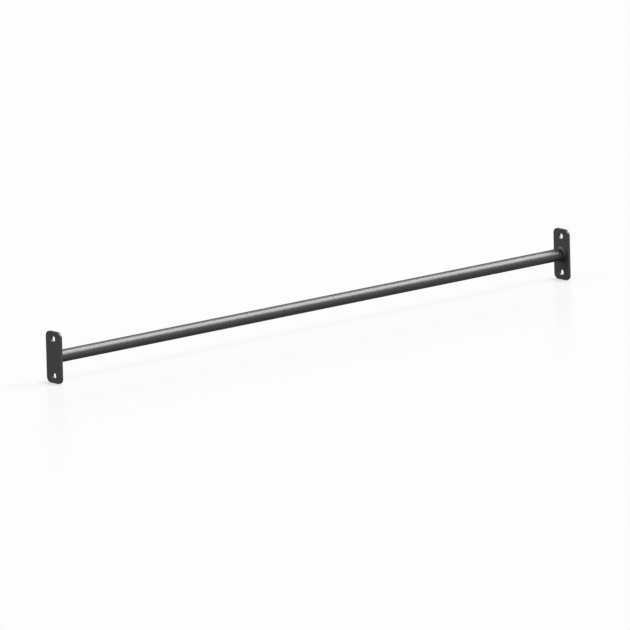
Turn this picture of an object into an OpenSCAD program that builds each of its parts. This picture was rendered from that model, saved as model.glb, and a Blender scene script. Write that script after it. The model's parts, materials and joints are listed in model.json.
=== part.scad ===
// Pull up bar for a rig: one round grip tube, butted and fillet welded between two flat flange plates.
//
// Millimetres. The origin is on the tube's axis, midway between the plates. +X runs along the bar
// towards the right plate, +Y across the plates and +Z up along the plates' long side.

/* [Bar] */
// Length of the whole bar, over the plates' outer faces
bar_length = 1800; // [600:10:2400]

/* [Grip tube] */
// Outside diameter of the tube
tube_d = 33.7; // [25:0.1:38]
// Wall thickness of the tube
tube_wall = 3.2; // [2:0.1:5]

/* [Flange plates] */
// Width of each plate, front to back
plate_width = 60; // [56:1:100]
// Height of each plate
plate_height = 140; // [136:1:220]
// Thickness of each plate
plate_thickness = 7; // [4:0.5:12]
// Radius of the four corners of each plate
corner_radius = 15; // [4:1:25]
// Width of the chamfer that softens the plate's edges
edge_chamfer = 0.6; // [0.3:0.1:1.5]

/* [Bolt holes] */
// Diameter of each bolt hole
hole_d = 16; // [9:0.5:20]
// Distance between the centres of a plate's upper and lower hole
hole_pitch = 100; // [80:1:112]

/* [Welds] */
// Leg length of the fillet weld, equal along the tube and along the plate
weld_leg = 5; // [3:0.5:8]
// How far the weld's face bulges past a flat fillet, as a share of its leg
weld_bulge = 0.12; // [0.02:0.01:0.2]

/* [Colour] */
// Colour of the satin powder coat on every piece
coat_colour = "#3e3e3e"; // [#3e3e3e:Satin black, #5f6163:Graphite, #a8abad:Silver]

/* [Hidden] */

$fn = 96;
tube_r = tube_d / 2;
tube_length = bar_length - 2 * plate_thickness;

// How far a cutter runs past the faces that it cuts through
overcut = 1;

// Circle of the weld's face: it passes through both toes and is centred on the fillet's diagonal,
// at face_offset * [1, 1] from the corner between the tube and the plate.
half_chord = weld_leg / sqrt(2);
face_rise = weld_bulge * weld_leg;
face_radius = (half_chord * half_chord + face_rise * face_rise) / (2 * face_rise);
face_offset = (half_chord + face_rise - face_radius) / sqrt(2);

// Outline through the thickness of a slab, with both long edges chamfered.
module chamfered_section(width, thickness) {
    x = thickness / 2;
    y = width / 2;
    c = edge_chamfer;
    polygon([
        [x, y - c], [x - c, y], [c - x, y], [-x, y - c],
        [-x, c - y], [c - x, -y], [x - c, -y], [x, c - y],
    ]);
}

// Upright slab as wide as the plate, standing between the corners.
module tall_slab() {
    straight = plate_height - 2 * corner_radius;
    linear_extrude(height = straight, center = true)
        chamfered_section(plate_width, plate_thickness);
}

// Slab as high as the plate, lying between the corners.
module wide_slab() {
    straight = plate_width - 2 * corner_radius;
    rotate([90, 0, 0])
        linear_extrude(height = straight, center = true)
            chamfered_section(plate_height, plate_thickness);
}

// Disc that rounds one corner, with the same chamfered rim.
module corner_disc() {
    rotate([0, 90, 0])
        rotate_extrude()
            intersection() {
                rotate(90)
                    chamfered_section(2 * corner_radius, plate_thickness);
                translate([0, -plate_thickness])
                    square(2 * corner_radius + 2 * plate_thickness);
            }
}

// One flange plate, centred on the origin, with its two bolt holes one above the other.
module flange_plate() {
    difference() {
        union() {
            tall_slab();
            wide_slab();
            for (side = [-1, 1], end = [-1, 1])
                translate([
                    0,
                    side * (plate_width / 2 - corner_radius),
                    end * (plate_height / 2 - corner_radius),
                ])
                    corner_disc();
        }
        for (end = [-1, 1])
            translate([0, 0, end * hole_pitch / 2])
                rotate([0, 90, 0])
                    cylinder(d = hole_d, h = plate_thickness + 2 * overcut, center = true);
    }
}

// Fillet weld for the right end, with its flat back on the plate and its bore on the tube.
module weld_bead() {
    translate([tube_length / 2, 0, 0])
        rotate([0, -90, 0])
            rotate_extrude()
                translate([tube_r, 0])
                    intersection() {
                        square(2 * weld_leg);
                        translate([face_offset, face_offset])
                            circle(r = face_radius);
                    }
}

module bar_tube() {
    color(coat_colour)
        rotate([0, 90, 0])
            difference() {
                cylinder(r = tube_r, h = tube_length, center = true);
                cylinder(r = tube_r - tube_wall, h = tube_length + 2 * overcut, center = true);
            }
}

module right_flange_plate() {
    color(coat_colour)
        translate([(tube_length + plate_thickness) / 2, 0, 0])
            flange_plate();
}

module left_flange_plate() {
    color(coat_colour)
        translate([-(tube_length + plate_thickness) / 2, 0, 0])
            flange_plate();
}

module right_weld_bead() {
    color(coat_colour)
        weld_bead();
}

module left_weld_bead() {
    color(coat_colour)
        mirror([1, 0, 0])
            weld_bead();
}

bar_tube();
left_flange_plate();
right_flange_plate();
left_weld_bead();
right_weld_bead();
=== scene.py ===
"""Looks for the pull up bar: a fine mesh for each CAD piece, one powder coat and a pale studio.

Lengths are in metres, in the CAD model's frame: +X runs along the bar towards the right plate,
+Y across the plates and +Z up along their long side, with the origin at the bar's middle.
"""
import json
import math

import bmesh
import bpy
from mathutils import Matrix, Vector


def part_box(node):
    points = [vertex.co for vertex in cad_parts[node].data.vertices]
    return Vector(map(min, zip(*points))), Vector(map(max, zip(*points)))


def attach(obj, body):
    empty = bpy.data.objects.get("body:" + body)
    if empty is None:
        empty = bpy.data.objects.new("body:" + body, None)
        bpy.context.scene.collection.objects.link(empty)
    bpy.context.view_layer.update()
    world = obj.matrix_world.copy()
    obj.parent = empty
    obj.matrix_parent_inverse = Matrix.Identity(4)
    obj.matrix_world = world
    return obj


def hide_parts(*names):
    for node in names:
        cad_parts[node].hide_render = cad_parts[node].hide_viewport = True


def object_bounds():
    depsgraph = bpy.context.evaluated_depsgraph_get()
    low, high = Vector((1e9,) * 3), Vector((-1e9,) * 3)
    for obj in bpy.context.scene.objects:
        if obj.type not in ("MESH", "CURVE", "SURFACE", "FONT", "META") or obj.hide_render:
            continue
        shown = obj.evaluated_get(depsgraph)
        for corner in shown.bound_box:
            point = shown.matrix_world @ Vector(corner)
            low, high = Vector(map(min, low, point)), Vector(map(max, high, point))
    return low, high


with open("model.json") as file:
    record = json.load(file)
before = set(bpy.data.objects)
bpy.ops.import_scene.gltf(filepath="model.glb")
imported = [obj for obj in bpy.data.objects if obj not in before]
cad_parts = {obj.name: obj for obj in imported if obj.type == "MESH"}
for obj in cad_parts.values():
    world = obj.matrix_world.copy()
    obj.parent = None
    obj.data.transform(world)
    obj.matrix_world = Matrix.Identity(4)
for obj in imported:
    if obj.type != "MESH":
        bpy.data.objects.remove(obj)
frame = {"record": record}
cad_low, cad_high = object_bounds()

MM = 0.001

# ---------------------------------------------------------------- camera
CAMERA_AZIMUTH = -40.38      # degrees; 0 looks along +Y
CAMERA_ELEVATION = 11.98     # degrees above the horizon
CAMERA_ROLL = -1.51          # degrees about the line of sight
CAMERA_DISTANCE = 52.0       # a very long lens, so the bar shows almost no perspective
VIEW_WIDTH = 1.6873          # what the picture's width covers at the bar's middle
VIEW_RIGHT = 0.0106          # the picture's centre, to the right of the bar's middle
VIEW_UP = -0.0266            # and above it

# ---------------------------------------------------------------- shapes
TUBE_WALL = 3.2 * MM
TUBE_SIDES = 128
TUBE_STATIONS = 48           # rings along the tube's length

CORNER_RADIUS = 15 * MM      # of the plates, as in the CAD model
CORNER_STEPS = 24
EDGE_ROUND = 0.4 * MM        # radius of the coated edges of plates and holes
EDGE_STEPS = 6
EDGE_MARGIN = 0.6 * MM       # flat ring beside a rounded edge, which keeps the faces' shading flat
HOLE_SIDES = 96

BEAD_STEPS = 528             # cross-sections of a weld round the tube
FACE_STEPS = 16              # spans across the weld's face
BEAD_FULLNESS = 0.95         # mean leg, as a share of the CAD bead's, which leaves room for the wobble
BEAD_BULGE = 0.12            # rise of the face past a flat fillet, as a share of the leg
BEAD_SUNK = 0.25 * MM        # how far the bead's hidden sides reach into plate and tube
RIPPLES = 44                 # solidified ripples round the tube
RIPPLE_HEIGHT = 0.16 * MM
RIPPLE_ROUNDNESS = 0.8       # 1 makes a plain half wave, and less makes a fuller one
RIPPLE_LEVEL = 0.6           # where the smooth face lies, as a share of a ripple's height
RIPPLE_AT_TOES = 0.3         # how much of a ripple's height is left at the weld's toes
RIPPLE_BOW = 0.9             # how far a ripple bows along the weld, in ripples
RIPPLE_DRIFT = 8.0           # how far the wobble spreads and crowds the ripples
# Waves of the uneven toes: (how many round the tube, size as a share of the leg, phase)
BEAD_WOBBLE = ((2, 0.020, 0.7), (5, 0.016, 2.2), (9, 0.012, 4.1), (17, 0.008, 1.3))
WOBBLE_TURN = 2.0            # radians from the tube toe's wobble to the plate toe's

SHARP_ANGLE = 40.0           # degrees; edges that turn less than this are shaded smooth

# ---------------------------------------------------------------- powder coat
# Noise scales are in cells per metre.
TINT_RANGE = (0.044, 0.048)  # albedo of the near-black coat
TINT_SCALE = 28.0
ROUGHNESS_RANGE = (0.388, 0.412)
ROUGHNESS_SCALE = 90.0
PEEL_SCALE = 420.0           # orange peel, a couple of millimetres wide
PEEL_HEIGHT = 0.08 * MM
GRAIN_SCALE = 2000.0         # and the powder's own grain, half a millimetre wide
GRAIN_HEIGHT = 0.045 * MM

# ---------------------------------------------------------------- light
BACKDROP = 0.984             # the pale background, as the camera sees it
SKY_STRENGTH = 0.385         # the same background as a light, from above
GROUND_STRENGTH = 0.12       # and from below, off the floor
HORIZON_BLEND = 0.2          # height, as a sine, over which the one turns into the other

# name: (degrees from +X towards +Y, degrees above the horizon, degrees across, strength)
# There are just two groups of lights, and they share no piece: with groups that overlap, repeated
# renders come out slightly different. The two low lights stand for what a floor throws up at the bar.
BAR_LIGHTS = {
    "key_light": (-20, 41.5, 45, 6.2),
    "back_light": (135, 45, 65, 1.7),
    "left_light": (170, 5, 50, 1.03),
    "low_front_light": (-60, -25, 40, 0.30),
    "low_right_light": (0, -30, 40, 0.23),
}
FLOOR_LIGHTS = {
    "floor_key_light": (-23, 43, 20, 3.9),
    "floor_back_light": (135, 45, 25, 0.9),
    "floor_top_light": (0, 84, 22, 0.6),
}
FLOOR_REACH = 40.0           # from the bar's middle to the floor's edges
FLOOR_ALBEDO = 0.058         # share of the light that the floor returns, and so its shadows' depth
FLOOR_GLOW = 1.053           # the even rest of its brightness
FLOOR_MIRROR = 0.20          # share of the floor's light that is reflection
FLOOR_ROUGHNESS = 0.22       # of that reflection
CONTACT_REACH = 34 * MM      # how far from the plates their painted contact shadow reaches
CONTACT_DEPTH = 0.40         # how much of the floor's glow the painted contact shadow takes away where it is full
CONTACT_SAMPLES = 8


# ---------------------------------------------------------------- mesh helpers
def add_ring(bm, points):
    """Adds a vertex at each point."""
    return [bm.verts.new(point) for point in points]


def bridge(bm, ring_a, ring_b):
    """Joins two closed rings of equally many vertices with a band of quads."""
    count = len(ring_a)
    for i in range(count):
        j = (i + 1) % count
        bm.faces.new((ring_a[i], ring_a[j], ring_b[j], ring_b[i]))


def skin(bm, rings, closed):
    """Bridges each ring to the next, and the last to the first if the skin closes on itself."""
    for ring_a, ring_b in zip(rings, rings[1:]):
        bridge(bm, ring_a, ring_b)
    if closed:
        bridge(bm, rings[-1], rings[0])


def ring_edges(bm, ring):
    """The edges that join the vertices of a closed ring."""
    return [bm.edges.get((a, b)) for a, b in zip(ring, ring[1:] + ring[:1])]


def circle_points(radius, sides, centre=(0.0, 0.0)):
    """(y, z) points round a circle that faces along X."""
    turn = 2 * math.pi / sides
    return [
        (centre[0] + radius * math.cos(i * turn), centre[1] + radius * math.sin(i * turn))
        for i in range(sides)
    ]


def rounded_rectangle(width, height, radius):
    """(y, z) points round a rectangle with rounded corners."""
    points = []
    for corner, (side_y, side_z) in enumerate(((1, 1), (-1, 1), (-1, -1), (1, -1))):
        centre_y = side_y * (width / 2 - radius)
        centre_z = side_z * (height / 2 - radius)
        for step in range(CORNER_STEPS + 1):
            angle = math.pi / 2 * (corner + step / CORNER_STEPS)
            y = centre_y + radius * math.cos(angle)
            z = centre_z + radius * math.sin(angle)
            points.append((y, z))
    return points


def at_x(x, points):
    """(y, z) points as (x, y, z) points, all at one x."""
    return [(x, y, z) for y, z in points]


def finish_piece(bm, name, node):
    """Turns the bmesh into a piece that stands for a CAD node, with the coat on it."""
    bmesh.ops.recalc_face_normals(bm, faces=bm.faces)
    mesh = bpy.data.meshes.new(name)
    bm.to_mesh(mesh)
    bm.free()
    mesh.shade_smooth()
    mesh.set_sharp_from_angle(angle=math.radians(SHARP_ANGLE))
    mesh.materials.append(powder_coat)
    piece = bpy.data.objects.new(name, mesh)
    bpy.context.scene.collection.objects.link(piece)
    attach(piece, "root")
    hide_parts(node)
    return piece


# ---------------------------------------------------------------- powder coat
def add_node(tree, kind, **values):
    """Adds a shader node. A value is set on the input of that name, or else on the node itself."""
    node = tree.nodes.new(kind)
    for key, value in values.items():
        name = key.replace("_", " ")
        if name in node.inputs:
            node.inputs[name].default_value = value
        else:
            setattr(node, key, value)
    return node


def add_noise(tree, place, scale, detail):
    """Cloudy noise with the given cells per metre. Returns its output."""
    noise = add_node(tree, "ShaderNodeTexNoise", Scale=scale, Detail=detail)
    tree.links.new(place, noise.inputs["Vector"])
    return noise.outputs["Fac"]


def spread(tree, source, limits, target):
    """Spreads a value from 0 to 1 over the given limits and feeds it to the target socket."""
    span = add_node(tree, "ShaderNodeMapRange", To_Min=limits[0], To_Max=limits[1])
    tree.links.new(source, span.inputs["Value"])
    tree.links.new(span.outputs["Result"], target)


def add_bump(tree, noise, height):
    """Bumps of the given height, from a noise."""
    bump = add_node(tree, "ShaderNodeBump", Strength=1.0, Distance=height)
    tree.links.new(noise, bump.inputs["Height"])
    return bump


def make_powder_coat():
    """Satin black powder coat: orange peel about two millimetres wide over a finer grain."""
    material = bpy.data.materials.new("powder_coat")
    material.use_nodes = True
    tree = material.node_tree
    tree.nodes.clear()
    place = add_node(tree, "ShaderNodeTexCoord").outputs["Object"]
    shader = add_node(tree, "ShaderNodeBsdfPrincipled")
    output = add_node(tree, "ShaderNodeOutputMaterial")
    tree.links.new(shader.outputs["BSDF"], output.inputs["Surface"])

    clouds = add_noise(tree, place, TINT_SCALE, detail=3.0)
    spread(tree, clouds, TINT_RANGE, shader.inputs["Base Color"])
    film = add_noise(tree, place, ROUGHNESS_SCALE, detail=2.0)
    spread(tree, film, ROUGHNESS_RANGE, shader.inputs["Roughness"])

    peel = add_bump(tree, add_noise(tree, place, PEEL_SCALE, detail=1.0), PEEL_HEIGHT)
    grain = add_bump(tree, add_noise(tree, place, GRAIN_SCALE, detail=1.0), GRAIN_HEIGHT)
    tree.links.new(peel.outputs["Normal"], grain.inputs["Normal"])
    tree.links.new(grain.outputs["Normal"], shader.inputs["Normal"])
    return material


# ---------------------------------------------------------------- grip tube
def make_tube():
    """The grip tube with its real wall, as one closed skin: outside, right end, bore and left end."""
    low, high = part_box("bar_tube")
    outer = (high.z - low.z) / 2
    inner = outer - TUBE_WALL
    stations = [low.x + (high.x - low.x) * i / TUBE_STATIONS for i in range(TUBE_STATIONS + 1)]
    profile = [(x, outer) for x in stations] + [(x, inner) for x in reversed(stations)]
    bm = bmesh.new()
    rings = [add_ring(bm, at_x(x, circle_points(radius, TUBE_SIDES))) for x, radius in profile]
    skin(bm, rings, closed=True)
    return finish_piece(bm, "grip_tube", "bar_tube")


# ---------------------------------------------------------------- flange plates
def make_plate(name, node, mount_name):
    """A flange plate with rounded corners, edges and hole rims."""
    low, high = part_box(node)
    mount = next(m for m in frame["record"]["mounts"] if m["name"] == mount_name)
    hole_radius = mount["dims"]["hole_r_mm"] * MM
    hole_pitch = mount["dims"]["spacing_y_mm"] * MM
    width = high.y - low.y
    height = high.z - low.z
    # (depth below the face, inset from the edge), from the flat margin to the edge's widest point
    rounding = [(0.0, EDGE_ROUND + EDGE_MARGIN)]
    for step in range(EDGE_STEPS + 1):
        angle = math.pi / 2 * step / EDGE_STEPS
        rounding.append((EDGE_ROUND * (1 - math.cos(angle)), EDGE_ROUND * (1 - math.sin(angle))))
    section = [(low.x + depth, inset) for depth, inset in rounding]
    section += [(high.x - depth, inset) for depth, inset in reversed(rounding)]

    bm = bmesh.new()
    outline = []
    for x, inset in section:
        corner = CORNER_RADIUS - inset
        points = rounded_rectangle(width - 2 * inset, height - 2 * inset, corner)
        outline.append(add_ring(bm, at_x(x, points)))
    borders = [outline]
    for side in (-1, 1):
        centre = (0.0, side * hole_pitch / 2)
        hole = []
        for x, inset in section:
            points = circle_points(hole_radius + inset, HOLE_SIDES, centre)
            hole.append(add_ring(bm, at_x(x, points)))
        borders.append(hole)
    for rings in borders:
        skin(bm, rings, closed=False)
    for face in (0, -1):
        edges = [edge for rings in borders for edge in ring_edges(bm, rings[face])]
        bmesh.ops.triangle_fill(bm, edges=edges, use_beauty=True)
    return finish_piece(bm, name, node)


# ---------------------------------------------------------------- welds
def wobble(angle):
    """A slow, closed wobble round the tube, as a share of the weld's leg."""
    return sum(size * math.sin(waves * angle + phase) for waves, size, phase in BEAD_WOBBLE)


def weld_section(leg, angle):
    """(out from the tube, along the tube from the plate) points round a weld, at one angle."""
    tube_leg = leg * (BEAD_FULLNESS + wobble(angle))
    plate_leg = leg * (BEAD_FULLNESS + wobble(angle + WOBBLE_TURN))
    points = [(-BEAD_SUNK, -BEAD_SUNK), (plate_leg, -BEAD_SUNK)]
    for step in range(FACE_STEPS + 1):
        across = step / FACE_STEPS
        crown = 4 * across * (1 - across)
        turn = RIPPLES * angle / (2 * math.pi) + RIPPLE_BOW * crown + RIPPLE_DRIFT * wobble(angle)
        ripple = abs(math.sin(math.pi * turn)) ** RIPPLE_ROUNDNESS - RIPPLE_LEVEL
        ripple_height = RIPPLE_HEIGHT * (RIPPLE_AT_TOES + (1 - RIPPLE_AT_TOES) * crown)
        rise = (BEAD_BULGE * leg * crown + ripple_height * ripple) / math.sqrt(2)
        points.append((plate_leg * (1 - across) + rise, tube_leg * across + rise))
    points.append((-BEAD_SUNK, tube_leg))
    return points


def make_weld(name, node, side):
    """A fillet weld all round the tube. side is the sign of the end that it is on."""
    low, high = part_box(node)
    tube_low, tube_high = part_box("bar_tube")
    tube_radius = (tube_high.z - tube_low.z) / 2
    leg = (high.z - low.z) / 2 - tube_radius
    plate_x = high.x if side > 0 else low.x
    bm = bmesh.new()
    rings = []
    for step in range(BEAD_STEPS):
        angle = 2 * math.pi * step / BEAD_STEPS
        ring = []
        for out, along in weld_section(leg, angle):
            radius = tube_radius + out
            ring.append((plate_x - side * along, radius * math.cos(angle), radius * math.sin(angle)))
        rings.append(add_ring(bm, ring))
    skin(bm, rings, closed=True)
    return finish_piece(bm, name, node)


# ---------------------------------------------------------------- studio
def direction_to(azimuth, elevation):
    """Unit vector towards the light at these angles, in degrees."""
    azimuth = math.radians(azimuth)
    elevation = math.radians(elevation)
    level = math.cos(elevation)
    return Vector((level * math.cos(azimuth), level * math.sin(azimuth), math.sin(elevation)))


def make_floor():
    """A wide pale floor under the plates. It catches the floor lights' shadows and a faint reflection,
    and has a painted contact shadow: its glow is darkened near the plates.
    """
    material = bpy.data.materials.new("studio_floor")
    material.use_nodes = True
    tree = material.node_tree
    tree.nodes.clear()
    link = tree.links.new
    paper = add_node(tree, "ShaderNodeBsdfDiffuse", Color=(*[FLOOR_ALBEDO] * 3, 1.0))
    glow = add_node(tree, "ShaderNodeEmission", Color=(1.0, 1.0, 1.0, 1.0))
    to_key = direction_to(*FLOOR_LIGHTS["floor_key_light"][:2])
    key_side = add_node(tree, "ShaderNodeCombineXYZ", X=to_key.x, Y=to_key.y, Z=to_key.z)
    # Painted contact shadow: an occlusion test, tilted towards the floor's key light, dims the glow
    # near the plates.
    painted_contact_shadow = add_node(tree, "ShaderNodeAmbientOcclusion", Distance=CONTACT_REACH,
                       samples=CONTACT_SAMPLES)
    link(key_side.outputs["Vector"], painted_contact_shadow.inputs["Normal"])
    glow_range = (FLOOR_GLOW * (1 - CONTACT_DEPTH), FLOOR_GLOW)
    spread(tree, painted_contact_shadow.outputs["AO"], glow_range, glow.inputs["Strength"])
    lit = add_node(tree, "ShaderNodeAddShader")
    link(paper.outputs["BSDF"], lit.inputs[0])
    link(glow.outputs["Emission"], lit.inputs[1])
    gloss = add_node(tree, "ShaderNodeBsdfGlossy", Roughness=FLOOR_ROUGHNESS)
    mix = add_node(tree, "ShaderNodeMixShader", Fac=FLOOR_MIRROR)
    link(lit.outputs["Shader"], mix.inputs[1])
    link(gloss.outputs["BSDF"], mix.inputs[2])
    output = add_node(tree, "ShaderNodeOutputMaterial")
    link(mix.outputs["Shader"], output.inputs["Surface"])

    mesh = bpy.data.meshes.new("studio_floor")
    signs = [(-1, -1), (1, -1), (1, 1), (-1, 1)]
    corners = [(x * FLOOR_REACH, y * FLOOR_REACH, cad_low.z) for x, y in signs]
    mesh.from_pydata(corners, [], [(0, 1, 2, 3)])
    mesh.materials.append(material)
    floor = bpy.data.objects.new("studio_floor", mesh)
    bpy.context.scene.collection.objects.link(floor)
    floor.visible_diffuse = False
    floor.visible_glossy = False
    return floor


def make_world():
    """A pale backdrop for the camera that shines on the bar as a dimmer, even dome."""
    world = bpy.data.worlds.new("studio_world")
    world.use_nodes = True
    tree = world.node_tree
    tree.nodes.clear()
    link = tree.links.new
    direction = add_node(tree, "ShaderNodeTexCoord").outputs["Generated"]
    height = add_node(tree, "ShaderNodeSeparateXYZ")
    link(direction, height.inputs["Vector"])
    dome = add_node(tree, "ShaderNodeMapRange", interpolation_type="SMOOTHSTEP",
                    From_Min=-HORIZON_BLEND, From_Max=HORIZON_BLEND,
                    To_Min=GROUND_STRENGTH, To_Max=SKY_STRENGTH)
    link(height.outputs["Z"], dome.inputs["Value"])
    path = add_node(tree, "ShaderNodeLightPath")
    strength = add_node(tree, "ShaderNodeMapRange", To_Max=BACKDROP)
    link(path.outputs["Is Camera Ray"], strength.inputs["Value"])
    link(dome.outputs["Result"], strength.inputs["To Min"])
    background = add_node(tree, "ShaderNodeBackground", Color=(1.0, 1.0, 1.0, 1.0))
    link(strength.outputs["Result"], background.inputs["Strength"])
    output = add_node(tree, "ShaderNodeOutputWorld")
    link(background.outputs["Background"], output.inputs["Surface"])
    bpy.context.scene.world = world


def make_receivers(name, pieces):
    """A collection of the pieces that a group of lights shines on."""
    receivers = bpy.data.collections.new(name)
    for piece in pieces:
        receivers.objects.link(piece)
    return receivers


def make_sun(name, azimuth, elevation, size, strength, receivers):
    """A soft, even light from far away, which shines on its receivers only."""
    light = bpy.data.lights.new(name, "SUN")
    light.angle = math.radians(size)
    light.energy = strength
    lamp = bpy.data.objects.new(name, light)
    lamp.rotation_euler = (0, math.radians(90 - elevation), math.radians(azimuth))
    bpy.context.scene.collection.objects.link(lamp)
    lamp.light_linking.receiver_collection = receivers
    return lamp


def make_camera():
    """A long-lens camera that looks down at the bar's middle from its left front."""
    data = bpy.data.cameras.new("camera")
    data.lens = data.sensor_width * CAMERA_DISTANCE / VIEW_WIDTH
    data.clip_end = 2 * CAMERA_DISTANCE
    camera = bpy.data.objects.new("camera", data)
    bpy.context.scene.collection.objects.link(camera)
    turn = (
        Matrix.Rotation(math.radians(CAMERA_AZIMUTH), 4, "Z")
        @ Matrix.Rotation(math.radians(90 - CAMERA_ELEVATION), 4, "X")
        @ Matrix.Rotation(math.radians(CAMERA_ROLL), 4, "Z")
    )
    middle = (cad_low + cad_high) / 2
    back = turn @ Vector((VIEW_RIGHT, VIEW_UP, CAMERA_DISTANCE))
    camera.matrix_world = Matrix.Translation(middle + back) @ turn
    bpy.context.scene.camera = camera


powder_coat = make_powder_coat()
bar_pieces = [
    make_tube(),
    make_plate("left_plate", "left_flange_plate", "left_bolt_holes"),
    make_plate("right_plate", "right_flange_plate", "right_bolt_holes"),
    make_weld("left_weld", "left_weld_bead", -1),
    make_weld("right_weld", "right_weld_bead", 1),
]
studio_floor = make_floor()
make_world()
bar_receivers = make_receivers("bar_receivers", bar_pieces)
floor_receivers = make_receivers("floor_receivers", [studio_floor])
for light_name, light_values in BAR_LIGHTS.items():
    make_sun(light_name, *light_values, bar_receivers)
for light_name, light_values in FLOOR_LIGHTS.items():
    make_sun(light_name, *light_values, floor_receivers)
make_camera()
bpy.context.scene.view_settings.view_transform = "Standard"
